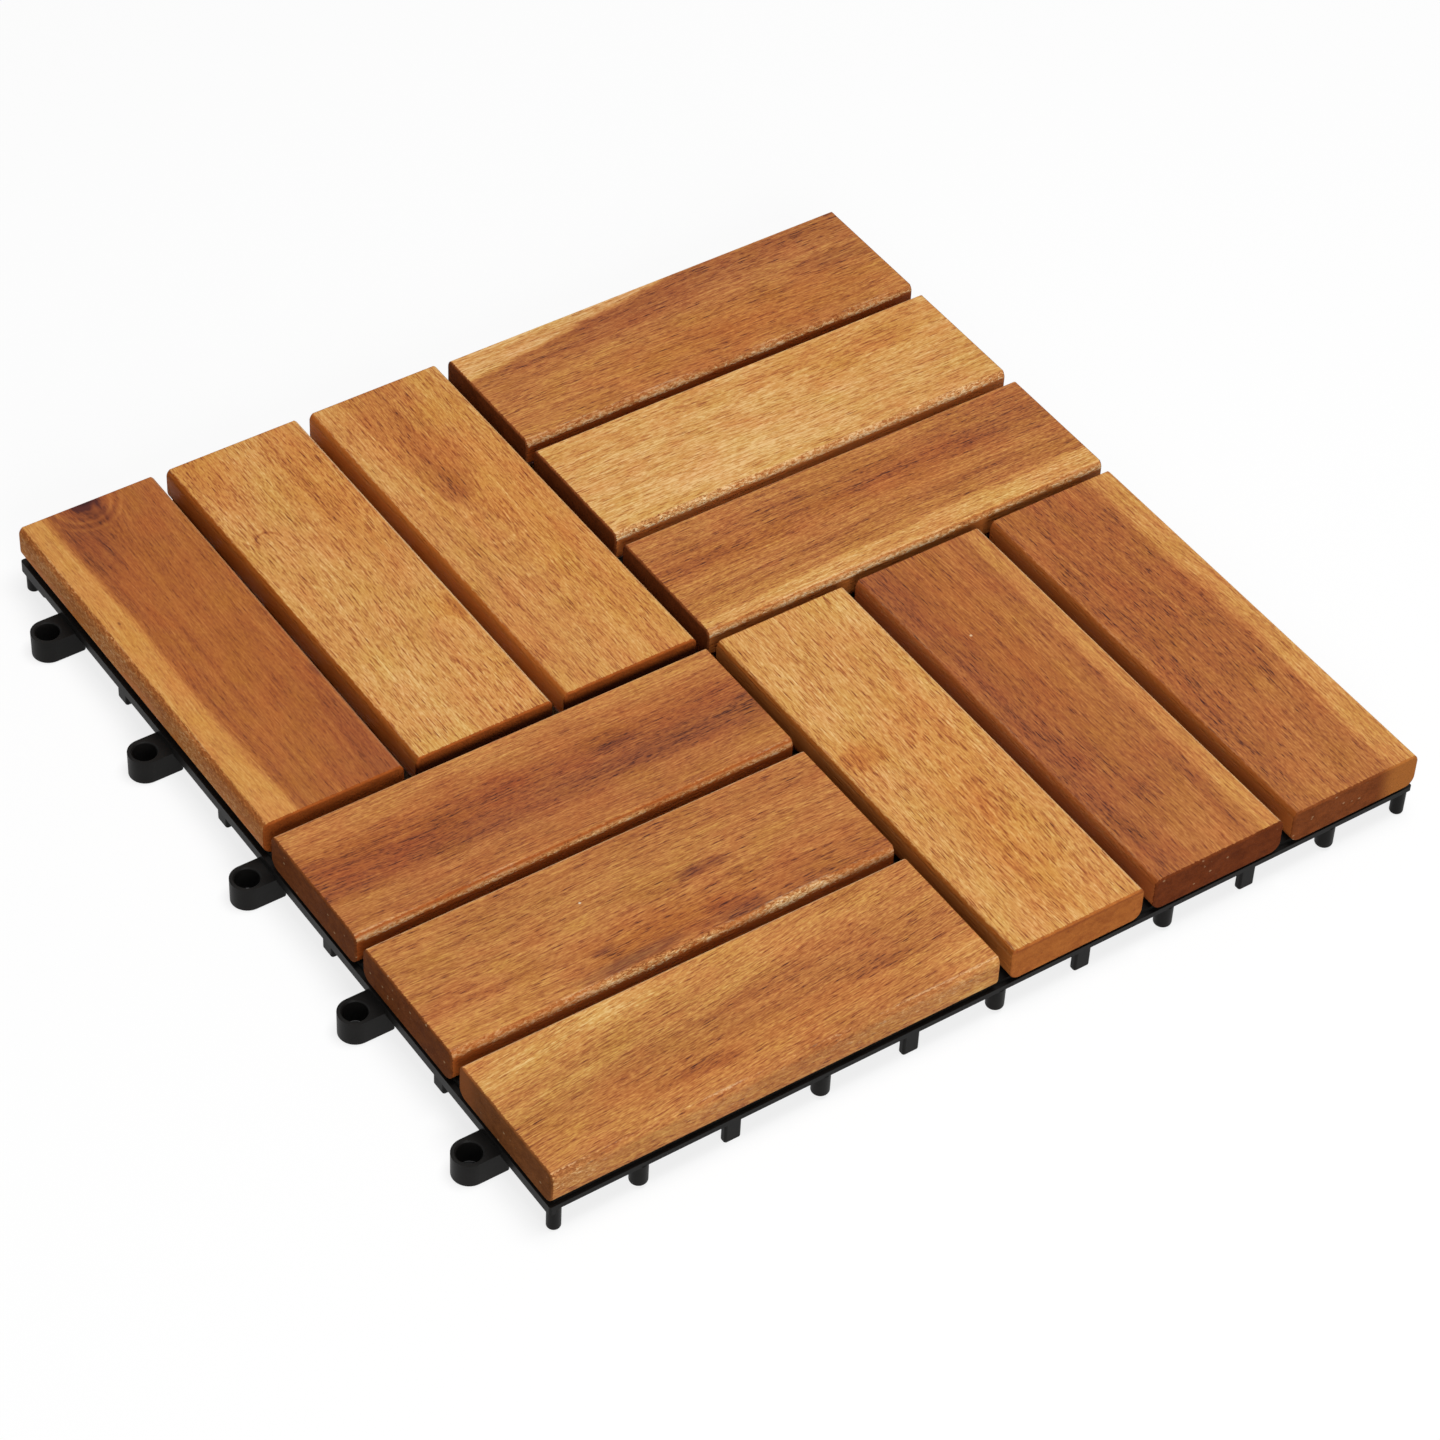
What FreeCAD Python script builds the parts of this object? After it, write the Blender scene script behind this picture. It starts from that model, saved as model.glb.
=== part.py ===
import FreeCAD, Part
import math
import os

# Interlocking deck tile: twelve hardwood slats screwed from below to one moulded base.
# The slats lie in four quadrants of three, turned by a quarter turn from one quadrant to the next.
# The base is a lattice on feet. Loops stand out from two neighbouring sides of it, and pins hang under
# the other two, so that the pins of one tile drop into the loops of the next.
# Millimetres. Origin: the middle of the tile, on the ground that its feet stand on. +Z is up.
# Loops are on the -X and +Y sides, and pins under the -Y and +X sides.

# Slats
tile_size = 300.0          # length and width over the slats
slats_per_quadrant = 3
slat_gap = 4.0             # between two slats, and between the slats of two joined tiles
slat_thickness = 12.0
slat_top_round = 3.0       # moulded along the two long top edges
slat_sanding = 0.5         # then taken off the top face, which leaves a crisp line along each rounding
slat_bottom_round = 3.5    # along the two long bottom edges
slat_end_round = 0.6       # all round each end

# Base lattice
cells_per_side = 10        # lattice lines, pins, loops and feet all keep to this division
foot_height = 9.0          # from the ground to the underside of the lattice plate
lip_height = 1.8           # outer edge of the lattice plate
seat_height = 1.2          # step above the lip, which carries the slats
front_lip_inset = 0.4      # from the outline of the slats in to the lip of the -Y side
lip_overhang = 0.1         # from the outline of the slats out to the lip of the other three sides
seat_inset = 1.8           # from the outline of the slats to the step above the lip
lip_corner_round = 0.8     # in plan
seat_corner_round = 0.5    # in plan
bar_width = 4.0
rib_thickness = 2.0
rib_depth = 5.0            # ribs under the bars

# Feet
edge_foot_length = 5.5     # along the edge
edge_foot_width = 2.5      # across the edge
edge_foot_inset = 1.5      # from the outline of the slats
foot_corner_round = 0.8
foot_sole_round = 0.6
corner_foot_radius = 2.1
corner_foot_inset = 2.5    # from the outline of the slats to the foot's axis
corner_foot_end_round = 0.9
post_radius = 3.5
post_end_round = 0.8

# Pins and loops
pin_radius = 2.75
pin_inset = 3.0            # from the outline of the slats to the pin's axis
pin_end_round = 0.9
pin_ground_clearance = 1.0
loop_hole_radius = 3.75
loop_wall = 1.45
loop_mouth_chamfer = 0.4
loop_ground_clearance = 0.5
loop_top_clearance = 0.3   # under the lip of the next tile
loop_rib_clearance = 2.0   # from a loop to the ribs of the next tile
loop_root_depth = 3.0      # how far the loop reaches in under the slats
loop_root_round = 1.0
loop_web_thickness = 3.0   # rib behind the loop
rail_thickness = 2.0       # rail under the lip of the two sides with loops
rail_depth = 1.5
corner_rail_depth = 2.2    # deeper near the corner where those two sides meet
corner_rail_length = 15.0

# Screws
screw_line = 1             # lattice line that holds the screws nearest the tile's middle
screw_line_outer = 4       # lattice line that holds the screws nearest its edge
screw_radius = 1.5
screw_head_radius = 3.4
screw_head_height = 2.2
screw_tip_length = 2.5
screw_tip_gap = 0.5        # between the screw's point and the end of its pilot hole
screw_point_radius = 0.3
screw_seat_thickness = 3.5 # plastic that the head clamps against the slat
screw_hole_clearance = 0.25
pilot_clearance = 0.05
pilot_cover = 3.5          # wood left above the pilot hole
head_clearance = 0.35
boss_wall = 1.3
recess_width = 0.9         # cross recess in the screw head
recess_span = 3.6
recess_depth = 1.2
head_round = 0.9

overcut = 1.0              # how far a cutting shape runs past the face that it opens
tolerance = 1e-6           # for finding an edge by its size or place

# What follows from these
half = tile_size / 2
pitch = tile_size / cells_per_side
slats_across = 2 * slats_per_quadrant
slat_width = (tile_size - (slats_across - 1) * slat_gap) / slats_across
slat_length = (tile_size - slat_gap) / 2
plate_thickness = lip_height + seat_height
plate_top = foot_height + plate_thickness
rib_bottom = foot_height - rib_depth
loop_radius = loop_hole_radius + loop_wall
loop_offset = slat_gap + pin_inset
loop_top = foot_height - loop_top_clearance
rib_inset = pin_inset + loop_radius + loop_rib_clearance
frame_width = rib_inset + rib_thickness
head_seat = plate_top - screw_seat_thickness
head_bore_radius = screw_head_radius + head_clearance
boss_radius = head_bore_radius + boss_wall
hole_radius = screw_radius + screw_hole_clearance
pilot_depth = slat_thickness - pilot_cover
screw_length = screw_seat_thickness + pilot_depth - screw_tip_gap

UP = FreeCAD.Vector(0, 0, 1)


def box(x_low, x_high, y_low, y_high, z_low, z_high):
    """A block between two corners."""
    corner = FreeCAD.Vector(x_low, y_low, z_low)
    return Part.makeBox(x_high - x_low, y_high - y_low, z_high - z_low, corner)


def rounded_block(x_low, x_high, y_low, y_high, z_low, z_high, radius):
    """A block with its four upright edges rounded."""
    block = box(x_low, x_high, y_low, y_high, z_low, z_high)
    upright = [e for e in block.Edges if abs(e.BoundBox.ZLength - (z_high - z_low)) < tolerance]
    return block.makeFillet(radius, upright)


def flat_foot(x_low, x_high, y_low, y_high):
    """A foot with upright edges and sole rounded."""
    foot = rounded_block(x_low, x_high, y_low, y_high, 0, foot_height, foot_corner_round)
    sole = [e for e in foot.Edges if e.BoundBox.ZMax < tolerance]
    return foot.makeFillet(foot_sole_round, sole)


def cylinder(radius, x, y, z_low, z_high):
    return Part.makeCylinder(radius, z_high - z_low, FreeCAD.Vector(x, y, z_low), UP)


def peg(radius, end_round, x, y, z_low, z_high):
    """A round peg with its lower rim rounded."""
    solid = cylinder(radius, x, y, z_low, z_high)
    lower_rim = [e for e in solid.Edges if e.BoundBox.ZMax < z_low + tolerance]
    return solid.makeFillet(end_round, lower_rim)


def slat_lines():
    """Middle line of each slat across the tile, from low to high."""
    step = slat_width + slat_gap
    return [-half + slat_width / 2 + i * step for i in range(slats_across)]


def screw_stations():
    """Where the screws stand along a slat, from the middle of the tile."""
    return [screw_line * pitch, screw_line_outer * pitch]


def slat_places():
    """Each slat as (name, x, y, runs along X)."""
    lines = slat_lines()
    low = lines[:slats_per_quadrant]
    high = lines[slats_per_quadrant:]
    middle = (slat_gap + slat_length) / 2
    places = []
    for i in range(slats_per_quadrant):
        places.append((f"slat_front_left_{i + 1}", -middle, low[i], True))
        places.append((f"slat_front_right_{i + 1}", high[i], -middle, False))
        places.append((f"slat_back_right_{i + 1}", middle, high[i], True))
        places.append((f"slat_back_left_{i + 1}", low[i], middle, False))
    return places


def screw_places():
    """Screw axes of every slat, by slat name."""
    places = {}
    for name, x, y, along_x in slat_places():
        if along_x:
            places[name] = [(math.copysign(s, x), y) for s in screw_stations()]
        else:
            places[name] = [(x, math.copysign(s, y)) for s in screw_stations()]
    return places


def slat_section():
    """Outline of a slat across its length, its middle at x = 0 and its underside at z = 0."""
    w = slat_width / 2
    t = slat_thickness
    a = slat_bottom_round
    b = slat_top_round

    def ring(side, cx, cz, radius, degrees):
        """The point of a rounding at an angle from the horizontal, on one side of the slat."""
        angle = math.radians(degrees)
        return FreeCAD.Vector(side * (cx + radius * math.cos(angle)), 0, cz + radius * math.sin(angle))

    def half_outline(side):
        """Bottom middle of the outline round one side to the crisp line on top, as points of two arcs."""
        top_middle = t + slat_sanding - b
        crisp = math.degrees(math.asin((b - slat_sanding) / b))
        bottom = [ring(side, w - a, a, a, angle) for angle in (-90, -45, 0)]
        top = [ring(side, w - b, top_middle, b, angle) for angle in (0, crisp / 2, crisp)]
        return bottom, top

    right_bottom, right_top = half_outline(1)
    left_bottom, left_top = half_outline(-1)
    return Part.Wire([
        Part.LineSegment(left_bottom[0], right_bottom[0]).toShape(),
        Part.Arc(*right_bottom).toShape(),
        Part.LineSegment(right_bottom[2], right_top[0]).toShape(),
        Part.Arc(*right_top).toShape(),
        Part.LineSegment(right_top[2], left_top[2]).toShape(),
        Part.Arc(*reversed(left_top)).toShape(),
        Part.LineSegment(left_top[0], left_bottom[2]).toShape(),
        Part.Arc(*reversed(left_bottom)).toShape(),
    ])


def plain_slat():
    """A slat along Y with its middle over the origin, its ends eased all round."""
    bar = Part.Face(slat_section()).extrude(FreeCAD.Vector(0, slat_length, 0))
    bar.translate(FreeCAD.Vector(0, -slat_length / 2, 0))
    end_edges = [e for e in bar.Edges if e.BoundBox.YLength < tolerance]
    return bar.makeFillet(slat_end_round, end_edges)


def slats():
    """The twelve slats, each with its two blind pilot holes."""
    shapes = {}
    screws = screw_places()
    pattern = plain_slat()
    for name, x, y, along_x in slat_places():
        slat = pattern.copy()
        if along_x:
            slat.rotate(FreeCAD.Vector(0, 0, 0), UP, 90)
        slat.translate(FreeCAD.Vector(x, y, plate_top))
        holes = [
            cylinder(screw_radius + pilot_clearance, sx, sy, plate_top - overcut, plate_top + pilot_depth)
            for sx, sy in screws[name]
        ]
        shapes[name] = slat.cut(Part.makeCompound(holes))
    return shapes


def lattice_lines():
    """Lattice lines between the edges, without the edges themselves."""
    return [-half + i * pitch for i in range(1, cells_per_side)]


def lip_outline():
    """The lip in plan, as its lowest and highest x, then its lowest and highest y."""
    return -half - lip_overhang, half + lip_overhang, -half + front_lip_inset, half + lip_overhang


def lattice_plate():
    """The flat lattice: lip, step and square openings between frame and bars."""
    seat = half - seat_inset
    plate = rounded_block(*lip_outline(), foot_height, foot_height + lip_height, lip_corner_round)
    step = rounded_block(-seat, seat, -seat, seat, foot_height, plate_top, seat_corner_round)
    frame_inner = half - frame_width
    lows = [-frame_inner] + [line + bar_width / 2 for line in lattice_lines()]
    highs = [line - bar_width / 2 for line in lattice_lines()] + [frame_inner]
    openings = []
    for x_low, x_high in zip(lows, highs):
        for y_low, y_high in zip(lows, highs):
            openings.append(box(x_low, x_high, y_low, y_high, foot_height - overcut, plate_top + overcut))
    return plate.fuse(step).cut(Part.makeCompound(openings))


def ribs():
    """Ribs under the frame's inner edge and under every bar."""
    outer = half - rib_inset
    inner = outer - rib_thickness
    found = [
        box(-outer, outer, -outer, -inner, rib_bottom, foot_height),
        box(-outer, outer, inner, outer, rib_bottom, foot_height),
        box(-outer, -inner, -outer, outer, rib_bottom, foot_height),
        box(inner, outer, -outer, outer, rib_bottom, foot_height),
    ]
    for line in lattice_lines():
        low = line - rib_thickness / 2
        high = line + rib_thickness / 2
        found.append(box(low, high, -outer, outer, rib_bottom, foot_height))
        found.append(box(-outer, outer, low, high, rib_bottom, foot_height))
    return found


def foot_stations():
    """Every second lattice line, where feet stand along a side between its corners."""
    return [-half + i * pitch for i in range(2, cells_per_side, 2)]


def pin_stations():
    """The lattice lines between those, where pins and loops stand."""
    return [-half + i * pitch for i in range(1, cells_per_side, 2)]


def edge_feet():
    """Flat feet along all four edges and a round one at each corner."""
    feet = []
    outer = half - edge_foot_inset
    inner = outer - edge_foot_width
    reach = edge_foot_length / 2
    for s in foot_stations():
        for low, high in ((-outer, -inner), (inner, outer)):
            feet.append(flat_foot(s - reach, s + reach, low, high))
            feet.append(flat_foot(low, high, s - reach, s + reach))
    corner = half - corner_foot_inset
    for x in (-corner, corner):
        for y in (-corner, corner):
            feet.append(peg(corner_foot_radius, corner_foot_end_round, x, y, 0, foot_height))
    return feet


def posts():
    """Round feet where every second lattice line crosses, but not where a screw boss stands."""
    bosses = [place for pair in screw_places().values() for place in pair]
    room = boss_radius + post_radius
    lines = lattice_lines()
    alternate = lines[(len(lines) // 2) % 2::2]
    found = []
    for x in alternate:
        for y in alternate:
            if all(math.hypot(x - bx, y - by) > room for bx, by in bosses):
                found.append(peg(post_radius, post_end_round, x, y, 0, foot_height))
    return found


def pins():
    """Pins under the -Y and +X sides."""
    axis = half - pin_inset
    found = []
    for s in pin_stations():
        found.append(peg(pin_radius, pin_end_round, s, -axis, pin_ground_clearance, foot_height))
        found.append(peg(pin_radius, pin_end_round, axis, s, pin_ground_clearance, foot_height))
    return found


def loop_body():
    """A loop of the -X side at y = 0: a round-nosed ear, its root under the lip, and the web behind it."""
    axis = -half - loop_offset
    root = -half + loop_root_depth
    nose = cylinder(loop_radius, axis, 0, loop_ground_clearance, loop_top)
    arm = box(axis, root, -loop_radius, loop_radius, loop_ground_clearance, loop_top)
    upright = [e for e in arm.Edges if e.BoundBox.XLength + e.BoundBox.YLength < tolerance]
    root_edges = [e for e in upright if e.BoundBox.XMax > root - tolerance]
    arm = arm.makeFillet(loop_root_round, root_edges)
    collar_front = -half - lip_overhang
    collar_reach = loop_radius - loop_root_round
    collar = box(collar_front, root, -collar_reach, collar_reach, loop_top, foot_height)
    web_reach = loop_web_thickness / 2
    web = box(root, -half + rib_inset, -web_reach, web_reach, rib_bottom, foot_height)
    return nose.fuse([arm, collar, web])


def loop_hole():
    """The hole of that loop, with its chamfered mouth."""
    axis = -half - loop_offset
    hole = cylinder(loop_hole_radius, axis, 0, 0, foot_height)
    mouth = Part.makeCone(
        loop_hole_radius,
        loop_hole_radius + 2 * loop_mouth_chamfer,
        2 * loop_mouth_chamfer,
        FreeCAD.Vector(axis, 0, loop_top - loop_mouth_chamfer),
        UP,
    )
    return hole.fuse(mouth)


def corner_rail(length_x, length_y, depth):
    """A rail under the lip of the -X and +Y sides, from the corner where they meet."""
    x_low, x_high, y_low, y_high = lip_outline()
    x_end = x_low + length_x
    y_end = y_high - length_y
    low = foot_height - depth
    block = rounded_block(x_low, x_end, y_end, y_high, low, foot_height, lip_corner_round)
    inside = box(
        x_low + rail_thickness,
        x_high + overcut,
        y_low - overcut,
        y_high - rail_thickness,
        low - overcut,
        foot_height + overcut,
    )
    return block.cut(inside)


def rails():
    """The rail along the whole of both sides, and its deeper part near the corner."""
    x_low, x_high, y_low, y_high = lip_outline()
    return [
        corner_rail(x_high - x_low, y_high - y_low, rail_depth),
        corner_rail(corner_rail_length, corner_rail_length, corner_rail_depth),
    ]


def on_both_loop_sides(shape):
    """Copies of a shape of the -X side at y = 0, at every station of the -X and the +Y side."""
    copies = []
    for s in pin_stations():
        left = shape.copy()
        left.translate(FreeCAD.Vector(0, s, 0))
        copies.append(left)
        back = shape.copy()
        back.rotate(FreeCAD.Vector(0, 0, 0), UP, -90)
        back.translate(FreeCAD.Vector(s, 0, 0))
        copies.append(back)
    return copies


def base_grid():
    """The whole moulded base as one solid."""
    bosses = []
    bores = []
    for pair in screw_places().values():
        for x, y in pair:
            bosses.append(cylinder(boss_radius, x, y, rib_bottom, plate_top))
            bores.append(cylinder(head_bore_radius, x, y, rib_bottom - overcut, head_seat))
            bores.append(cylinder(hole_radius, x, y, head_seat - overcut, plate_top + overcut))
    added = ribs() + edge_feet() + posts() + pins() + bosses + rails() + on_both_loop_sides(loop_body())
    base = lattice_plate().multiFuse(added)
    base = base.cut(Part.makeCompound(bores + on_both_loop_sides(loop_hole())))
    return base.removeSplitter()


def screw(x, y):
    """A pan-head screw with a cross recess, its head under the base and its point in the slat."""
    low = head_seat - screw_head_height
    head = peg(screw_head_radius, head_round, x, y, low, head_seat)
    shank_top = head_seat + screw_length - screw_tip_length
    shank = cylinder(screw_radius, x, y, head_seat, shank_top)
    tip_base = FreeCAD.Vector(x, y, shank_top)
    tip = Part.makeCone(screw_radius, screw_point_radius, screw_tip_length, tip_base, UP)
    width = recess_width / 2
    span = recess_span / 2
    recess = box(x - span, x + span, y - width, y + width, low - overcut, low + recess_depth)
    cross = box(x - width, x + width, y - span, y + span, low - overcut, low + recess_depth)
    return head.fuse([shank, tip]).cut(recess.fuse(cross)).removeSplitter()


def slat_screws():
    """All the screws, as one group of separate solids."""
    places = [place for pair in screw_places().values() for place in pair]
    return Part.makeCompound([screw(x, y).Solids[0] for x, y in places])


def main():
    os.makedirs("parts", exist_ok=True)
    nodes = {"base_grid": base_grid(), "slat_screws": slat_screws()}
    nodes.update(slats())
    for name, shape in nodes.items():
        shape.exportStep(f"parts/{name}.step")
        print(name, "solids", len(shape.Solids), "valid", shape.isValid(), "volume", round(shape.Volume, 1))


main()
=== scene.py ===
"""The looks of the interlocking deck tile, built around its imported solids.

The scene is in metres. Inside the materials, lengths are in millimetres: u runs along a slat, v across it
and w up from its underside.
"""

import bpy
from mathutils import Matrix, Vector

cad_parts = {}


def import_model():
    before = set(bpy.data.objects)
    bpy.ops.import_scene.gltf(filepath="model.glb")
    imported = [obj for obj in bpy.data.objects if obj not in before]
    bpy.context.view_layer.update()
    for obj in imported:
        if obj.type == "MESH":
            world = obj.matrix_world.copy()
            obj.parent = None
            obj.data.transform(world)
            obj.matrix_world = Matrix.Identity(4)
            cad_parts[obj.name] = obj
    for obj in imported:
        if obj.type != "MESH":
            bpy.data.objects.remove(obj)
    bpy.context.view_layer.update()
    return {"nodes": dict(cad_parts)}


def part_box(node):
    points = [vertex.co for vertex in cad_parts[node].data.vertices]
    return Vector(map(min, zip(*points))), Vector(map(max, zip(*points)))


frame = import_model()

# The tile's sizes in millimetres, as its solids have them
MM = 0.001
SLAT_LENGTH = 148.0
SLAT_LOW = 12.0
SLAT_WIDTH = 46.67
CREST = 1.34               # from a slat's side in to the crisp line where its top face begins

# Wood tones from the palest sapwood to the darkest knot, each with its place on the ramp
TONES = (
    (0.00, "E7BE82"),
    (0.14, "D8A665"),
    (0.30, "CC914F"),
    (0.46, "BB7B45"),
    (0.60, "AC6B3A"),
    (0.74, "9C5B35"),
    (0.88, "80492E"),
    (1.00, "4C2B26"),
)
# Tones of chipped tear-out in the grain, from its dark hollows to its pale fibres; over the near rounding
# they also act as painted light that lifts its shade
TORN_GRAIN_AND_LIFT_TONES = (
    (0.10, "7E4524"),
    (0.40, "B27240"),
    (0.62, "CC9257"),
    (0.85, "E8C08A"),
    (1.00, "F0D4A8"),
)
# Faint shifts of hue, towards pink and towards olive
HUES = (
    (0.30, "FFF6F8"),
    (0.50, "FFFFFF"),
    (0.70, "FCFFF2"),
)
# Slow shifts of hue within a slat
ORANGE = "FFE6B8"
REDDISH = "FFDECC"
PURPLE = "E6D4EE"
OLIVE = "F2FFF4"
STAIN = "5E302A"
PALE_WOOD_AND_HIGHLIGHT_TONE = "E6C294"      # pale worn wood and a painted highlight along the crisp line of a long edge; also the tone of pale specks on ends
PAINTED_EDGE_SHADE_TONE = "BEAC90"         # painted shade: darkens the upper part of a near side, where its rounding turns from the light
RIM_TONE = "8A4524"        # the line under the top edge of an end, and its pores

# Sizes of the wood's noises along, across and up, in millimetres
WAVE = (80, 30, 30)
RAGGED = (10, 2.6, 4)
BROAD = (190, 9, 12)
STREAK = (60, 2.0, 4.0)
FIBRE = (22, 0.55, 1.0)
MOTTLE = (13, 7, 9)
GRIT = (1.7, 0.4, 0.6)
CROWD = (30, 7, 9)
HUE = (17, 10, 10)
RAG = (1.6, 0.7, 0.7)
SLOW = (24, 9, 9)
END_GRAIN = (1.0, 5.0, 3.0)
END_SPECKS = (1.0, 3.0, 2.2)
NESTED = (3.6, 9.0, 9.0)
PORES = (((7.0, 0.66, 1.0), 1.0), ((3.8, 0.48, 0.7), 0.8))     # long and short, each with its strength
PLASTIC_GRAIN = (0.7, 0.7, 0.7)
PLASTIC_CLOUD = (14, 14, 6)
STEEL_CLOUD = (1.2, 1.2, 1.2)
# What one step of the seed moves a noise and a field of spots by, in their own grains
NOISE_STEP = (3.17, 5.71, 7.43)
SPOT_STEP = (2.39, 4.13, 6.91)

# Gloss and depth of the finishes
WOOD_GLOSS = 0.05
WOOD_RELIEF = 0.07
PLASTIC_GLOSS = 0.09
PLASTIC_RELIEF = 0.03


def colour(code):
    """Linear RGBA of a hex colour."""
    parts = [int(code[i:i + 2], 16) / 255 for i in (0, 2, 4)]
    return [p / 12.92 if p <= 0.04045 else ((p + 0.055) / 1.055) ** 2.4 for p in parts] + [1.0]


class Graph:
    """The nodes of one material or world, made and joined by short calls."""

    def __init__(self, owner):
        owner.use_nodes = True
        self.owner = owner
        self.tree = owner.node_tree
        self.tree.nodes.clear()

    def feed(self, socket, value):
        if isinstance(value, bpy.types.NodeSocket):
            self.tree.links.new(value, socket)
        else:
            socket.default_value = value

    def node(self, kind, inputs=None, **settings):
        made = self.tree.nodes.new(kind)
        for key, value in settings.items():
            setattr(made, key, value)
        for key, value in (inputs or {}).items():
            self.feed(made.inputs[key], value)
        return made

    def math(self, operation, a, b=0.0, c=0.5, clamp=False):
        made = self.node("ShaderNodeMath", {0: a, 1: b, 2: c}, operation=operation, use_clamp=clamp)
        return made.outputs[0]

    def add(self, *terms):
        total = terms[0]
        for term in terms[1:]:
            total = self.math("ADD", total, term)
        return total

    def times(self, *terms):
        total = terms[0]
        for term in terms[1:]:
            total = self.math("MULTIPLY", total, term)
        return total

    def minus(self, a, b):
        return self.math("SUBTRACT", a, b)

    def length(self, a, b):
        return self.math("SQRT", self.add(self.times(a, a), self.times(b, b)))

    def position(self):
        """The point in millimetres as three sockets."""
        place = self.node("ShaderNodeTexCoord").outputs["Object"]
        scaled = self.node("ShaderNodeVectorMath", {0: place, 3: 1 / MM}, operation="SCALE").outputs[0]
        return self.node("ShaderNodeSeparateXYZ", {0: scaled}).outputs

    def vector(self, x, y, z):
        return self.node("ShaderNodeCombineXYZ", {0: x, 1: y, 2: z}).outputs[0]

    def cells(self, place, sizes, seed, step):
        """The place counted in grains of the given sizes, moved by the seed."""
        counted = [
            self.math("MULTIPLY_ADD", along, 1 / size, seed * move)
            for along, size, move in zip(place, sizes, step)
        ]
        return self.vector(*counted)

    def noise(self, place, sizes, seed, detail=1.0, roughness=0.5, distortion=0.0):
        """Noise around 0, from about -0.4 to 0.4, with grains of the given sizes along three directions."""
        settings = {
            "Vector": self.cells(place, sizes, seed, NOISE_STEP),
            "Scale": 1.0, "Detail": detail, "Roughness": roughness,
            "Distortion": distortion,
        }
        return self.minus(self.node("ShaderNodeTexNoise", settings).outputs["Fac"], 0.5)

    def spots(self, place, sizes, seed):
        """Distance from the nearest of many scattered spots, and a random tone of that spot."""
        settings = {"Vector": self.cells(place, sizes, seed, SPOT_STEP), "Scale": 1.0}
        made = self.node("ShaderNodeTexVoronoi", settings)
        return made.outputs["Distance"], made.outputs["Color"]

    def ease(self, value, low, high):
        """0 below low and 1 above high, smooth between them; high may be under low."""
        turned = high < low
        settings = {
            "Value": value, "From Min": min(low, high), "From Max": max(low, high),
            "To Min": float(turned), "To Max": float(not turned),
        }
        return self.node("ShaderNodeMapRange", settings, interpolation_type="SMOOTHSTEP").outputs[0]

    def between(self, value, low, high, edge):
        """1 between low and high, with soft edges."""
        rise = self.ease(value, low - edge, low + edge)
        fall = self.ease(value, high + edge, high - edge)
        return self.times(rise, fall)

    def blend(self, factor, a, b, mode="MIX"):
        made = self.node("ShaderNodeMix", {0: factor, 6: a, 7: b}, data_type="RGBA", blend_type=mode)
        return made.outputs[2]

    def ramp(self, value, stops):
        """Colour along value, from (place, colour) pairs."""
        made = self.node("ShaderNodeValToRGB", {0: value})
        line = made.color_ramp
        while len(line.elements) < len(stops):
            line.elements.new(0.5)
        for element, (place, code) in zip(line.elements, stops):
            element.position = place
            element.color = colour(code)
        return made.outputs[0]

    def bump(self, height, distance):
        settings = {"Height": height, "Distance": distance, "Strength": 1.0}
        return self.node("ShaderNodeBump", settings).outputs[0]

    def principled(self, settings):
        return self.finish(self.node("ShaderNodeBsdfPrincipled", settings).outputs[0])

    def finish(self, shader, kind="ShaderNodeOutputMaterial"):
        out = self.node(kind)
        self.tree.links.new(shader, out.inputs["Surface"])
        return self.owner


class Grain:
    """Where a point lies in its slat, and the slow noises that its features share."""

    def __init__(self, g, along, start, spec):
        place = g.position()
        lengthwise, across = (place[0], place[1]) if along == "x" else (place[1], place[0])
        self.seed = spec["seed"]
        self.u = g.minus(lengthwise, start[0])
        self.v = g.minus(across, start[1])
        self.w = g.minus(place[2], SLAT_LOW)
        self.plain = (self.u, self.v, self.w)
        self.wave = g.noise(self.plain, WAVE, self.seed)
        self.ragged = g.noise(self.plain, RAGGED, self.seed + 1, detail=2.0)
        slope = g.times(g.minus(self.u, SLAT_LENGTH / 2), -spec["slope"])
        self.across = g.add(self.v, slope, g.times(self.wave, spec["wave"]))
        for bend in spec["bends"]:
            self.across = g.add(self.across, bend(g, self))
        self.lines = (self.u, self.across, self.w)


def offset(g, p, at, size):
    """How far a point lies from a place along and across the slat, in the given sizes."""
    return g.times(g.minus(p.u, at[0]), 1 / size[0]), g.times(g.minus(p.v, at[1]), 1 / size[1])


def patch(at, size, amount, edge=0.6, ragged=1.5):
    """A softly bounded, ragged patch, darker or paler by amount."""
    def make(g, p):
        du, dv = offset(g, p, at, size)
        reach = g.add(g.length(du, dv), g.times(p.ragged, ragged))
        return g.times(g.ease(reach, 1 + edge, 1 - edge), amount)
    return make


def band(low, high, amount, edge=1.0, run=None, run_edge=18.0, ragged=3.0):
    """A band along the slat between two lines, each given by its v at both ends of the slat."""
    def make(g, p):
        v = g.add(p.v, g.times(p.ragged, ragged), g.times(p.wave, 3.0))
        bottom = g.math("MULTIPLY_ADD", p.u, (low[1] - low[0]) / SLAT_LENGTH, low[0])
        top = g.math("MULTIPLY_ADD", p.u, (high[1] - high[0]) / SLAT_LENGTH, high[0])
        mask = g.times(g.ease(g.minus(v, bottom), -edge, edge), g.ease(g.minus(top, v), -edge, edge))
        if run:
            mask = g.times(mask, g.between(p.u, run[0], run[1], run_edge))
        return g.times(mask, amount)
    return make


def knot_bend(at, size, push):
    """Pushes the grain aside round a knot."""
    def make(g, p):
        du, dv = offset(g, p, at, size)
        near = g.math("EXPONENT", g.times(g.add(g.times(du, du), g.times(dv, dv)), -1.0))
        return g.times(dv, near, -push)
    return make


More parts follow.
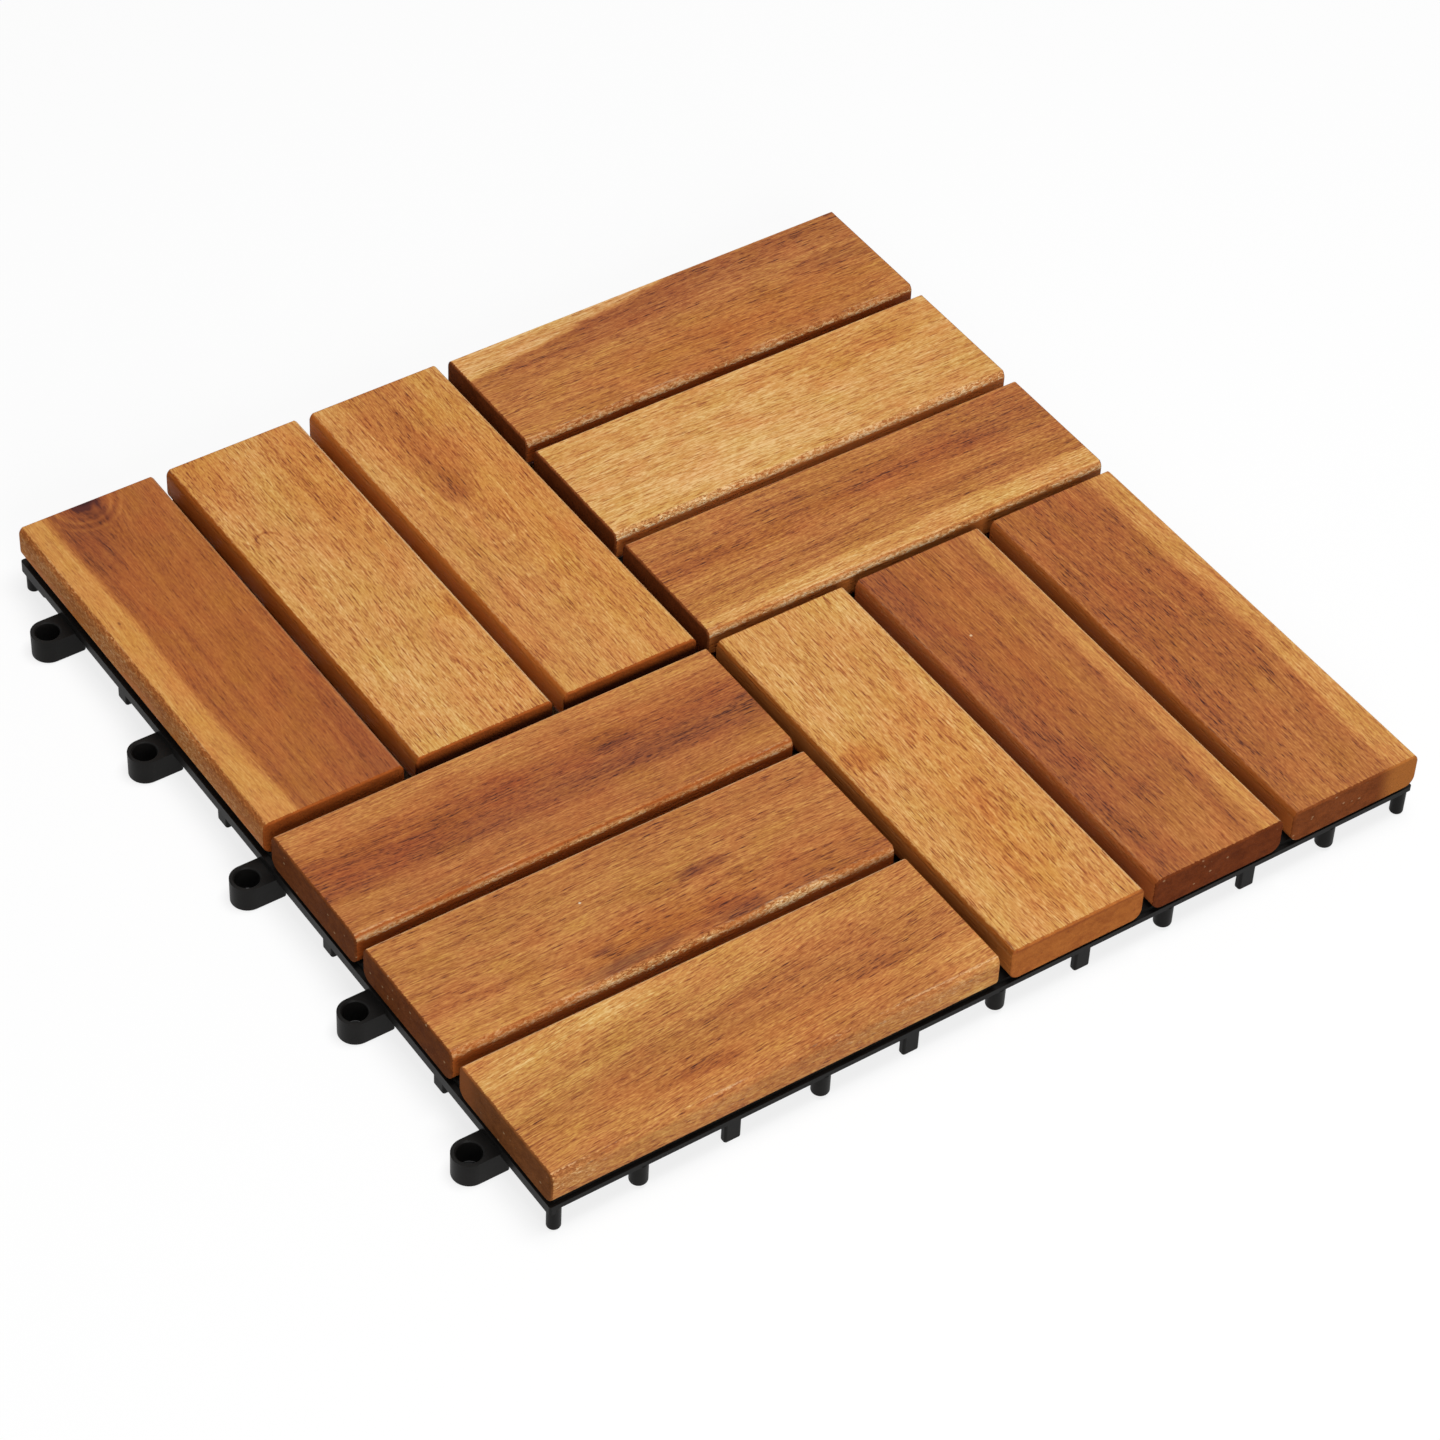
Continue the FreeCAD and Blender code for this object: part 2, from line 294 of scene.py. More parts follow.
def tongue(tip, half_width, length, amount, rings):
    """A darker tongue that closes at its tip, with nested lines round it."""
    def make(g, p):
        dv = g.times(g.minus(p.v, tip[1]), 1 / half_width)
        square = g.times(dv, dv)
        field = g.add(g.minus(p.u, tip[0]), g.times(square, square, -length), g.times(p.ragged, 4.0))
        inside = g.ease(field, -1.0, 2.5)
        faded = g.times(inside, g.ease(p.u, tip[0] + 40, tip[0]))
        halo = g.times(g.between(field, -9.0, -3.0, 2.0), g.ease(p.v, tip[1] + 2, tip[1] - 4))
        lines = g.noise((field, 0.0, p.w), NESTED, p.seed + 9, detail=2.0, roughness=0.6)
        outside = g.times(g.ease(field, 0.0, -2.0), g.ease(p.u, 15, 50))
        return g.add(
            g.times(g.add(inside, g.times(faded, 0.4)), amount * 0.7),
            g.times(halo, -amount * 0.9),
            g.times(lines, outside, rings),
        )
    return make


def ring(at, radius, width, amount, facing=1.0):
    """A thin half ring on the far side of its centre, or on the near side with facing at -1."""
    def make(g, p):
        reach = g.length(g.minus(p.u, at[0]), g.times(g.minus(p.v, at[1]), 1.1))
        side = g.ease(g.add(g.times(g.minus(p.u, at[0]), facing), g.times(p.ragged, 9.0)), -2.0, 2.0)
        return g.times(g.between(reach, radius - width, radius + width, width), side, amount)
    return make


def planed_wood(g, p, spec):
    """Colour of the planed wood, and the noises that its relief repeats."""
    seed = p.seed
    broad = g.noise(p.lines, BROAD, seed + 2)
    streak = g.noise(p.lines, STREAK, seed + 3, detail=2.0, roughness=0.65)
    fibre = g.noise(p.lines, FIBRE, seed + 4, detail=1.0)
    mottle = g.noise(p.plain, MOTTLE, seed + 5, detail=2.0, distortion=0.5)
    grit = g.noise(p.lines, GRIT, seed + 14)
    tone = g.add(
        spec["tone"],
        g.times(broad, spec["broad"]),
        g.times(streak, spec["streak"]),
        g.times(fibre, spec["fibre"]),
        g.times(mottle, spec["mottle"]),
        g.times(grit, spec["grit"]),
    )
    for feature in spec["features"]:
        tone = g.add(tone, feature(g, p))

    # Short dark pores along the grain, closer in some places than in others
    crowd = g.noise(p.lines, CROWD, seed + 8, detail=2.0)
    pores = 0.0
    for sizes, strength in PORES:
        reach, chance = g.spots(p.lines, sizes, seed + sizes[0])
        stroke = g.ease(g.add(reach, g.times(crowd, -0.3)), 0.44, 0.24)
        pores = g.add(pores, g.times(stroke, g.ease(chance, 0.2, 0.6), strength))
    tone = g.add(tone, g.times(pores, spec["pores"]))
    base = g.ramp(tone, TONES)
    hue = g.noise(p.plain, HUE, seed + 10, detail=2.0)
    base = g.blend(1.0, base, g.ramp(g.add(hue, 0.5), HUES), mode="MULTIPLY")
    for at, size, strength, code in spec["tints"]:
        base = g.blend(patch(at, size, strength, edge=0.9)(g, p), base, colour(code), mode="MULTIPLY")
    for at, size, strength in spec["stains"]:
        mask = patch(at, size, strength, edge=0.8, ragged=1.6)(g, p)
        streaky = g.math("MULTIPLY_ADD", fibre, 0.8, 0.8)
        base = g.blend(g.math("MULTIPLY", mask, streaky, clamp=True), base, colour(STAIN))
    for at, size, code in spec["flecks"]:
        base = g.blend(patch(at, size, 0.8, edge=0.5, ragged=0.3)(g, p), base, colour(code))
    return base, pores, fibre, streak, mottle


def edged_wood(g, p, spec, base, rag):
    """The colour with its long edges, and where the grain is chipped, with painted light and shade on them.

    The near edge has chipped tear-out over its rounding and a plainer side below it. Over the rounding the
    tear-out is painted paler, more so lower down, as painted light against its shade.
    """
    slow = g.noise(p.plain, SLOW, p.seed + 12)
    rim = spec["rim"]
    side = g.ease(g.add(p.v, g.times(rag, 0.8)), rim + 0.2, rim - 0.2)
    base = g.blend(g.times(side, spec["side"]), base, colour(spec["side_tone"]))
    amount = spec["torn_grain_and_lift"]
    for low, high, strength in spec["torn_runs"]:
        amount = g.add(amount, g.times(g.between(p.u, low, high, 6.0), strength))
    # The tear-out zone over the near rounding; its colour there is also painted light that lifts the
    # rounding's shade
    torn_in = spec["torn_in"]
    edge = g.ease(g.add(p.v, g.times(rag, 2.0)), torn_in + 0.35, torn_in - 0.35)
    torn_low, torn_soft, wander = spec["torn_reach"]
    height_on_side = g.add(p.w, g.times(rag, wander * 6), g.times(slow, wander * 7))
    torn_grain_and_lift = g.times(edge, g.ease(height_on_side, torn_low, torn_low + torn_soft))
    torn_grain_and_lift = g.math("MULTIPLY", torn_grain_and_lift, amount, clamp=True)
    # Painted light: paler lower down the rounding, where the light leaves it in more shade
    painted_lift_low = g.ease(p.w, 11.8, 9.8)
    pale = spec["torn_and_lift_pale"] - 0.08
    paleness_with_painted_lift = g.add(g.times(rag, 2.3), g.times(slow, 0.6), g.times(painted_lift_low, 0.22), pale)
    base = g.blend(torn_grain_and_lift, base, g.ramp(paleness_with_painted_lift, TORN_GRAIN_AND_LIFT_TONES))
    # Painted shade: the upper part of the near side is darkened where its rounding turns from the light
    painted_edge_shade = g.times(side, g.ease(p.w, 9.2, 10.6), spec["painted_edge_shade"])
    base = g.blend(painted_edge_shade, base, colour(PAINTED_EDGE_SHADE_TONE), mode="MULTIPLY")
    # Pale worn wood and a painted highlight, in broken runs, along the crisp line of the near edge
    line = g.between(g.add(p.v, g.times(rag, 1.6)), CREST - 0.15, CREST + 0.15, 0.3)
    crest_wear_and_highlight = g.times(line, g.ease(g.add(rag, slow), -0.08, 0.22))
    base = g.blend(g.times(crest_wear_and_highlight, spec["crest_wear_and_highlight"]), base, colour(PALE_WOOD_AND_HIGHLIGHT_TONE))
    # Painted light: the far rounding is lifted towards the pale tone against the shade it gets from the
    # light, with some pale worn wood
    far_line = SLAT_WIDTH - CREST
    far_edge_wear_and_lift = g.ease(g.add(p.v, g.times(rag, 0.8)), far_line - 0.25, far_line + 0.15)
    base = g.blend(g.times(far_edge_wear_and_lift, spec["far_edge_wear_and_lift"]), base, colour(PALE_WOOD_AND_HIGHLIGHT_TONE))
    return base, torn_grain_and_lift


def end_wood(g, p, spec, rag):
    """Where the ends are, and their colour: the open grain drinks the oil."""
    ragged_u = g.add(p.u, g.times(rag, 1.2))
    near_end = g.ease(ragged_u, 0.75, 0.45)
    far_end = g.ease(p.u, SLAT_LENGTH - 0.50, SLAT_LENGTH - 0.25)
    ends = g.math("MAXIMUM", near_end, far_end)
    end_grain = g.noise((0.0, p.v, p.w), END_GRAIN, p.seed + 13, detail=4.0, roughness=0.85)
    end_tone = g.blend(g.ease(end_grain, -0.24, 0.24), colour(spec["end"][0]), colour(spec["end"][1]))
    # Painted shade: the ends of slats that face a narrow gap are darker towards the bottom
    if spec["end_low_painted_shade"]:
        end_tone = g.blend(g.ease(p.w, 7.5, 10.5), colour(spec["end_low_painted_shade"]), end_tone)
    reach, chance = g.spots((0.0, p.v, p.w), END_SPECKS, p.seed + 15)
    speck = g.times(g.ease(reach, 0.2, 0.1), g.ease(chance, 0.62, 0.7), spec["specks"])
    end_tone = g.blend(speck, end_tone, colour(spec["speck_tone"]))
    under_edge = g.between(g.add(p.w, g.times(rag, 1.2)), 10.7, 11.5, 0.3)
    end_tone = g.blend(g.times(under_edge, spec["end_rim"]), end_tone, colour(RIM_TONE))
    if spec["end_side"]:
        from_v, code = spec["end_side"]
        beyond = g.ease(g.add(p.v, g.times(end_grain, 6.0)), from_v - 4, from_v + 4)
        end_tone = g.blend(beyond, end_tone, colour(code))
    return ends, end_tone


def wood(name, along, start, spec):
    """Oiled acacia for one slat."""
    g = Graph(bpy.data.materials.new(name))
    p = Grain(g, along, start, spec)
    base, pores, fibre, streak, mottle = planed_wood(g, p, spec)
    rag = g.noise(p.plain, RAG, p.seed + 11, detail=3.0, roughness=0.65, distortion=0.8)
    base, torn_grain_and_lift = edged_wood(g, p, spec, base, rag)
    ends, end_tone = end_wood(g, p, spec, rag)
    height = g.add(
        g.times(pores, -1.0),
        g.times(fibre, 1.5),
        g.times(streak, 0.8),
        g.times(rag, torn_grain_and_lift, 8.0),
    )
    settings = {
        "Base Color": g.blend(ends, base, end_tone),
        "Roughness": g.add(0.5, g.times(mottle, 0.2), g.times(torn_grain_and_lift, 0.25), g.times(ends, 0.3)),
        "Normal": g.bump(height, WOOD_RELIEF * MM),
        "Specular IOR Level": WOOD_GLOSS,
    }
    return g.principled(settings)


def plastic(name):
    """Black moulded plastic with a fine satin skin."""
    g = Graph(bpy.data.materials.new(name))
    place = g.position()
    grain = g.noise(place, PLASTIC_GRAIN, 3.0, detail=2.0)
    cloud = g.noise(place, PLASTIC_CLOUD, 8.0, detail=2.0)
    settings = {
        "Base Color": g.blend(g.ease(cloud, -0.3, 0.3), colour("0F0E0D"), colour("191817")),
        "Roughness": g.add(0.46, g.times(cloud, 0.2)),
        "Normal": g.bump(grain, PLASTIC_RELIEF * MM),
        "Specular IOR Level": PLASTIC_GLOSS,
    }
    return g.principled(settings)


def steel(name):
    """Zinc-plated steel, a little dull."""
    g = Graph(bpy.data.materials.new(name))
    cloud = g.noise(g.position(), STEEL_CLOUD, 5.0, detail=2.0)
    settings = {
        "Base Color": g.blend(g.ease(cloud, -0.3, 0.3), colour("A9A79F"), colour("C8C7C2")),
        "Metallic": 1.0,
        "Roughness": g.add(0.34, g.times(cloud, 0.2)),
    }
    return g.principled(settings)


# Pairs of tones between which an end's grain varies
AMBER_END = ("B66D32", "985326")
DARK_END = ("864722", "683417")
DEEP_END = ("743819", "5A2810")
GAP_END = ("A65622", "8A441A")
# The ends that face the loops get more of the fill
LEFT_END = ("7C4420", "603116")
LEFT_BROWN_END = ("88522A", "6C3D1D")

# What every slat has unless its own entry says otherwise. Places and sizes are in millimetres along and
# across the slat. A tint or stain is (place, size, strength), a fleck (place, size, tone) and a tear-out
# run (from, to, strength). torn_reach says how high on the side the tear-out and its painted light begin,
# how softly, and how much that height wanders. end_side is where the end's second tone begins across it,
# and that tone.
PLAIN_SLAT = {
    "slope": 0.0, "wave": 6.0, "bends": (),
    "broad": 0.3, "streak": 0.3, "fibre": 0.5, "mottle": 0.18, "grit": 0.6, "pores": 0.27,
    "features": (), "tints": (), "stains": (), "flecks": (),
    "side": 0.0, "side_tone": "8A4A2B", "rim": 1.0, "painted_edge_shade": 0.0, "crest_wear_and_highlight": 0.4, "far_edge_wear_and_lift": 0.3,
    "torn_grain_and_lift": 0.6, "torn_runs": (), "torn_reach": (9.3, 0.9, 0.3), "torn_in": 1.0, "torn_and_lift_pale": 0.58,
    "end": DARK_END, "end_low_painted_shade": None, "end_side": None, "end_rim": 0.0, "specks": 0.0,
    "speck_tone": PALE_WOOD_AND_HIGHLIGHT_TONE,
}

SLATS = {
    "slat_back_left_1": {
        "seed": 11.0, "tone": 0.63, "broad": 0.15, "streak": 0.25, "fibre": 0.35, "mottle": 0.15,
        "grit": 0.35, "pores": 0.09, "end": GAP_END,
        "bends": (knot_bend((149, 22.5), (15, 8), 6.0),),
        "features": (
            band((-3, -3), (11.8, 8.6), -0.34, edge=1.9, ragged=0.8),
            band((11, 9), (15, 12.5), 0.07, edge=2.0, ragged=1.0),
            band((21, 17.5), (22.6, 19.5), 0.09, edge=0.9, run=(45, 170), ragged=1.5),
            band((16.5, 14.5), (17.6, 16), 0.06, edge=0.8, run=(60, 170), ragged=1.5),
            patch((10, 42), (30, 5), 0.10, edge=0.9),
            patch((133, 16), (17, 6), 0.13, edge=0.9, ragged=1.0),
            patch((149, 22), (4.2, 4.0), 0.42, edge=0.8, ragged=0.8),
            patch((142, 24), (7, 4), 0.13, edge=0.7, ragged=0.8),
            ring((149, 21.5), 8.4, 0.5, 0.05, facing=-1.0),
            ring((149, 21.5), 10.2, 0.5, -0.13, facing=-1.0),
            ring((149, 21.5), 11.8, 0.6, 0.07, facing=-1.0),
            ring((149, 21.5), 13.7, 0.6, -0.10, facing=-1.0),
        ),
        "tints": (
            ((10, 42), (34, 6), 0.5, PURPLE),
            ((80, 30), (80, 30), 0.4, ORANGE),
            ((141, 23), (8, 5), 0.5, PURPLE),
        ),
        "stains": (
            ((149, 21.8), (4.2, 3.8), 0.85),
            ((142.5, 24.5), (5.5, 2.8), 0.36),
            ((131, 16), (14, 5), 0.22),
            ((48, 45.4), (3, 1.5), 0.6),
        ),
        "flecks": (((95, 5.7), (0.7, 0.35), "7A4428"), ((149.5, 22.3), (3.0, 2.8), "21151A")),
        "side": 0.85, "side_tone": "CE7634", "rim": 1.15, "painted_edge_shade": 0.25, "far_edge_wear_and_lift": 0.15,
        "torn_grain_and_lift": 0.62, "torn_reach": (2.0, 3.5, 1.6), "torn_in": 1.3, "torn_and_lift_pale": 0.33,
    },
    "slat_back_left_2": {
        "seed": 23.0, "tone": 0.26, "broad": 0.15, "streak": 0.2, "pores": 0.3, "end": GAP_END,
        "end_low_painted_shade": "4E2410",
        "features": (
            patch((49, 43.5), (5, 3), 0.18),
            patch((88, 44.5), (5, 2.5), 0.12),
            patch((118, 37), (24, 8), 0.09, ragged=2.0),
            patch((140, 8), (12, 7), 0.08),
            patch((22, 16), (26, 14), -0.04),
            ring((103, 10.7), 4.4, 0.45, 0.28),
        ),
        "tints": (
            ((115, 38), (30, 10), 0.4, ORANGE),
            ((49, 43), (8, 5), 0.4, ORANGE),
            ((142, 10), (14, 9), 0.35, ORANGE),
            ((14, 38), (14, 10), 0.2, REDDISH),
        ),
        "side": 0.9, "side_tone": "C66E2B", "rim": 1.22, "painted_edge_shade": 0.9, "torn_grain_and_lift": 0.1, "crest_wear_and_highlight": 0.2,
        "far_edge_wear_and_lift": 0.6,
    },
    "slat_back_left_3": {
        "seed": 35.0, "tone": 0.32, "broad": 0.2, "streak": 0.25, "pores": 0.26, "end": GAP_END,
        "end_low_painted_shade": "441E0E",
        "features": (
            tongue((88, 21), 9.5, 40.0, 0.17, 0.6),
            band((16, 6.5), (18.5, 9), -0.07, edge=1.2, run=(75, 190), run_edge=12, ragged=1.5),
            patch((96, 20), (8, 6), 0.06),
            patch((16, 16), (20, 14), -0.03),
            band((41, 38), (50, 50), -0.04, run=(20, 80)),
        ),
        "tints": (((75, 36), (60, 12), 0.4, ORANGE), ((125, 18), (40, 10), 0.3, ORANGE)),
        "side": 0.9, "side_tone": "DA7E38", "rim": 1.1, "painted_edge_shade": 0.8, "torn_grain_and_lift": 0.1, "crest_wear_and_highlight": 0.2,
    },
    "slat_front_left_1": {
        "seed": 47.0, "tone": 0.44, "slope": 0.10, "mottle": 0.15, "grit": 0.7, "pores": 0.21,
        "end": LEFT_BROWN_END, "end_side": (40, "94562C"), "specks": 0.4,
        "features": (
            band((33, 38), (50, 50), -0.13, edge=5.0, run=(-30, 105), run_edge=25),
            patch((45, 43), (22, 5), -0.08),
            patch((12, 25), (22, 18), -0.04),
            patch((92, 16), (45, 13), 0.07),
            patch((58, 10.5), (12, 2.4), 0.17),
            band((9, 10), (12.5, 13), 0.08, edge=1.5, run=(-10, 62), run_edge=10),
            patch((118, 17), (9, 2.6), 0.15),
            patch((124, 20), (28, 7), 0.05),
            patch((142, 5), (9, 6), -0.14),
        ),
        "tints": (((35, 26), (42, 14), 0.5, OLIVE), ((70, 11), (50, 7), 0.2, ORANGE)),
        "torn_grain_and_lift": 0.2, "torn_runs": ((-10, 14, 0.5), (80, 148, 0.15)), "torn_reach": (5.0, 3.0, 1.0),
        "torn_in": 1.4, "torn_and_lift_pale": 0.30, "crest_wear_and_highlight": 0.7, "far_edge_wear_and_lift": 0.5,
    },
    "slat_front_left_2": {
        "seed": 59.0, "tone": 0.485, "broad": 0.25, "mottle": 0.15, "pores": 0.22, "end": LEFT_END,
        "specks": 0.4,
        "features": (
            band((15.5, 11), (17, 12.5), 0.10, edge=0.8, run=(-30, 28), run_edge=5),
            patch((76, 9), (17, 6), 0.10),
            patch((132, 6), (40, 9), 0.17, ragged=2.0),
            patch((93, 22.5), (4, 2.0), 0.18),
            patch((102, 22.8), (4, 1.6), 0.16),
            patch((56, 10), (4.5, 1.8), 0.18),
            patch((97, 4), (8, 4), 0.14, ragged=2.0),
            patch((20, 6), (22, 5), -0.06),
        ),
        "tints": (
            ((75, 9), (20, 6), 0.4, ORANGE),
            ((130, 8), (30, 7), 0.12, REDDISH),
            ((50, 32), (60, 12), 0.3, OLIVE),
        ),
        "stains": (
            ((93, 22.5), (4.5, 2.0), 0.5),
            ((102, 22.8), (4, 1.5), 0.45),
            ((56, 10), (4, 1.4), 0.45),
            ((62, 3.4), (14, 1.9), 0.85),
            ((96, 3), (8, 2.6), 0.4),
        ),
        "flecks": (((60, 29), (0.4, 0.35), "F0DCC0"),),
        "side": 0.9, "side_tone": "AC5A25", "torn_grain_and_lift": 0.5, "torn_runs": ((48, 88, 0.5), (103, 126, 0.5)),
        "torn_reach": (8.6, 1.4, 0.6), "torn_in": 1.1, "torn_and_lift_pale": 0.58, "crest_wear_and_highlight": 0.6, "far_edge_wear_and_lift": 0.5,
    },
    "slat_front_left_3": {
        "seed": 61.0, "tone": 0.595, "broad": 0.25, "fibre": 0.54, "mottle": 0.15, "grit": 0.62,
        "pores": 0.12, "end": LEFT_END, "specks": 0.4,
        "features": (
            band((34, 33), (52, 52), -0.08, edge=2.0),
            patch((33, 41), (9, 5), 0.06, ragged=2.0),
            patch((66, 42), (9, 4), -0.06),
            patch((128, 44), (22, 4), -0.08),
            band((14.5, 13.5), (33, 32), 0.11, edge=2.5),
            band((15, 14), (22, 21), 0.06, edge=2.0, run=(78, 190), run_edge=14),
            patch((104, 26), (8, 1.8), 0.14, ragged=1.0),
            band((22.5, 22.5), (23.5, 23.5), 0.08, edge=0.7, run=(130, 190), run_edge=5),
            band((2, 2), (12, 11), -0.06, edge=2.0),
        ),
        "tints": (
            ((28, 26), (34, 9), 0.4, REDDISH),
            ((110, 30), (40, 6), 0.25, REDDISH),
            ((80, 20), (90, 9), 0.35, PURPLE),
        ),
        "stains": (
            ((104, 26), (7, 1.4), 0.35),
            ((104, 18.5), (26, 3.2), 0.22),
            ((50, 17), (14, 4), 0.12),
        ),
        "side": 0.9, "side_tone": "9C4C1C", "torn_grain_and_lift": 0.65, "torn_runs": ((62, 100, 0.3),), "torn_in": 0.6,
        "crest_wear_and_highlight": 0.5,
    },
    "slat_front_right_1": {
        "seed": 73.0, "tone": 0.24, "broad": 0.2, "streak": 0.2, "pores": 0.3, "end": AMBER_END,
        "features": (
            patch((85, 9), (5, 7.5), 0.14, edge=0.25, ragged=0.9),
            patch((18, 23), (13, 3), 0.13, ragged=2.0),
            patch((45, 19), (16, 5), 0.09, ragged=2.0),
            patch((55, 34), (50, 10), 0.08, ragged=2.0),
            patch((118, 36), (14, 5), 0.08, ragged=2.0),
            patch((125, 12), (30, 8), -0.05),
        ),
        "tints": (
            ((85, 9), (6, 8), 0.4, ORANGE),
            ((30, 24), (28, 9), 0.35, ORANGE),
            ((75, 32), (30, 10), 0.25, ORANGE),
        ),
        "side": 0.9, "side_tone": "C87434", "rim": 0.87, "painted_edge_shade": 0.95, "torn_grain_and_lift": 0.1, "crest_wear_and_highlight": 0.15,
        "far_edge_wear_and_lift": 0.5, "end_rim": 0.5, "specks": 0.7, "speck_tone": RIM_TONE,
    },
    "slat_front_right_2": {
        "seed": 85.0, "tone": 0.63, "broad": 0.2, "mottle": 0.15, "grit": 0.5, "pores": 0.15,
        "features": (
            band((38.5, 39.5), (52, 52), -0.26, edge=1.5),
            band((33, 35), (38, 38.5), 0.05, edge=1.2, run=(-30, 95)),
            band((27, 28), (34, 38), -0.04, edge=3.0, run=(60, 190)),
            patch((10, 24), (17, 13), -0.08, ragged=2.0),
            patch((51, 14), (4, 7), 0.06),
            band((-2, -2), (13, 12), 0.05, edge=4.0),
            patch((130, 20), (16, 4), -0.06),
        ),
        "tints": (((75, 6), (110, 9), 0.35, PURPLE), ((110, 20), (45, 12), 0.25, ORANGE)),
        "flecks": (((110, 15.5), (0.4, 0.4), "E8C8A0"),),
        "side": 0.9, "side_tone": "B46434", "rim": 0.95, "painted_edge_shade": 0.75, "torn_grain_and_lift": 0.1, "crest_wear_and_highlight": 0.15,
        "far_edge_wear_and_lift": 0.5, "end": DEEP_END, "specks": 0.3,
    },
    "slat_front_right_3": {
        "seed": 97.0, "tone": 0.63, "broad": 0.15, "mottle": 0.15, "pores": 0.18,
        "features": (
            band((36.5, 37), (52, 52), -0.30, edge=2.6, ragged=5.0),
            band((30, 32), (34, 37), -0.05, edge=2.5, run=(-30, 62)),
            band((30.5, 30.5), (33, 33), 0.06, edge=0.9, run=(22, 84), run_edge=6),
            patch((12, 18), (14, 14), -0.06, ragged=2.0),
            band((5, 5), (14, 13), 0.06, edge=2.5, run=(15, 110)),
        ),
        "tints": (((110, 16), (50, 20), 0.2, REDDISH),),
        "side": 0.9, "side_tone": "B46630", "rim": 1.04, "painted_edge_shade": 0.8, "torn_grain_and_lift": 0.1, "crest_wear_and_highlight": 0.15,
        "end_side": (35, "A8662F"), "specks": 0.3,
    },
    "slat_back_right_1": {
        "seed": 109.0, "tone": 0.50, "broad": 0.2, "streak": 0.35, "fibre": 0.6, "mottle": 0.15,
        "grit": 0.75, "pores": 0.18,
        "features": (
            band((23.5, 26.5), (29.5, 33), 0.05, edge=1.5),
            band((24, 27), (37, 39), 0.06, edge=3.0),
            band((12.5, 15), (15.5, 17.5), 0.08),
            band((-3, -3), (5.8, 8.8), -0.26, edge=1.5, ragged=4.0),
            patch((14, 27), (18, 3), 0.06),
            patch((130, 36), (24, 8), 0.08),
        ),
        "tints": (((30, 27), (40, 6), 0.25, REDDISH), ((95, 28), (20, 8), 0.3, REDDISH)),
        "flecks": (((98, 0), (4, 0.8), "C08850"),),
        "side": 0.9, "side_tone": "B06028", "torn_grain_and_lift": 0.8, "torn_reach": (9.4, 0.9, 0.3), "torn_in": 0.8,
        "torn_and_lift_pale": 0.62, "crest_wear_and_highlight": 0.6, "far_edge_wear_and_lift": 0.2,
    },
    "slat_back_right_2": {
        "seed": 113.0, "tone": 0.20, "broad": 0.2, "streak": 0.2, "mottle": 0.3, "pores": 0.24,
        "features": (
            patch((48, 9), (36, 9), -0.10, ragged=2.0),
            patch((116, 36), (32, 9), 0.12, ragged=2.0),
            patch((138, 14), (14, 6), 0.06),
        ),
        "tints": (((115, 34), (30, 10), 0.25, ORANGE),),
        "side": 0.85, "side_tone": "C0682E", "torn_grain_and_lift": 0.8, "torn_runs": ((-10, 40, 0.2),), "torn_in": 1.3,
        "torn_and_lift_pale": 0.68, "crest_wear_and_highlight": 0.6, "far_edge_wear_and_lift": 0.5,
    },
    "slat_back_right_3": {
        "seed": 127.0, "tone": 0.47, "broad": 0.25, "pores": 0.24,
        "features": (
            band((33.5, 54.8), (60, 62), -0.35, ragged=1.6, run=(-40, 95), run_edge=3, edge=1.6),
            band((22, 42), (33.5, 54.8), 0.09, edge=2.5, run=(0, 190)),
            patch((52, 38), (8, 2), 0.07),
            patch((134, 26), (17, 4), 0.12, ragged=2.0),
            patch((136, 40), (16, 6), 0.08, ragged=2.0),
            patch((90, 15), (40, 9), 0.03),
        ),
        "tints": (((85, 38), (60, 9), 0.5, PURPLE), ((95, 12), (50, 10), 0.35, ORANGE)),
        "stains": (((134, 25), (12, 2.5), 0.2),),
        "side": 0.92, "side_tone": "8E4016", "torn_grain_and_lift": 0.65, "crest_wear_and_highlight": 0.6,
    },
}


def slat_start(name):
    """Direction of a slat and its lowest u and v in the tile, from its CAD box."""
    low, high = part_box(name)
    along = "x" if high.x - low.x > high.y - low.y else "y"
    corner = (low.x / MM, low.y / MM)
    return along, corner if along == "x" else corner[::-1]


def dress(node, material):
    """Gives a CAD node its material."""
    node.data.materials.clear()
    node.data.materials.append(material)


for slat_name, own in SLATS.items():
    direction, corner = slat_start(slat_name)
    dress(frame["nodes"][slat_name], wood("wood_" + slat_name, direction, corner, {**PLAIN_SLAT, **own}))
dress(frame["nodes"]["base_grid"], plastic("black_plastic"))
dress(frame["nodes"]["slat_screws"], steel("zinc_steel"))


# Camera, fitted to the photograph
CAMERA_PLACE = (-0.572785, -0.791464, 0.946948)
CAMERA_RIGHT = (0.82822689, -0.5590382, 0.03894241)
CAMERA_UP = (0.36853592, 0.59570723, 0.7136625)
CAMERA_BACK = (-0.42216288, -0.57672279, 0.69940641)
FOCAL_PIXELS = 4525.918
PHOTO_PIXELS = 1440
SENSOR = 36.0

view = bpy.data.cameras.new("camera")
view.sensor_width = SENSOR
view.lens = SENSOR * FOCAL_PIXELS / PHOTO_PIXELS
view.clip_end = 20.0
camera = bpy.data.objects.new("camera", view)
turn = Matrix((CAMERA_RIGHT, CAMERA_UP, CAMERA_BACK)).transposed().to_4x4()
camera.matrix_world = Matrix.Translation(CAMERA_PLACE) @ turn
bpy.context.scene.collection.objects.link(camera)
bpy.context.scene.camera = camera


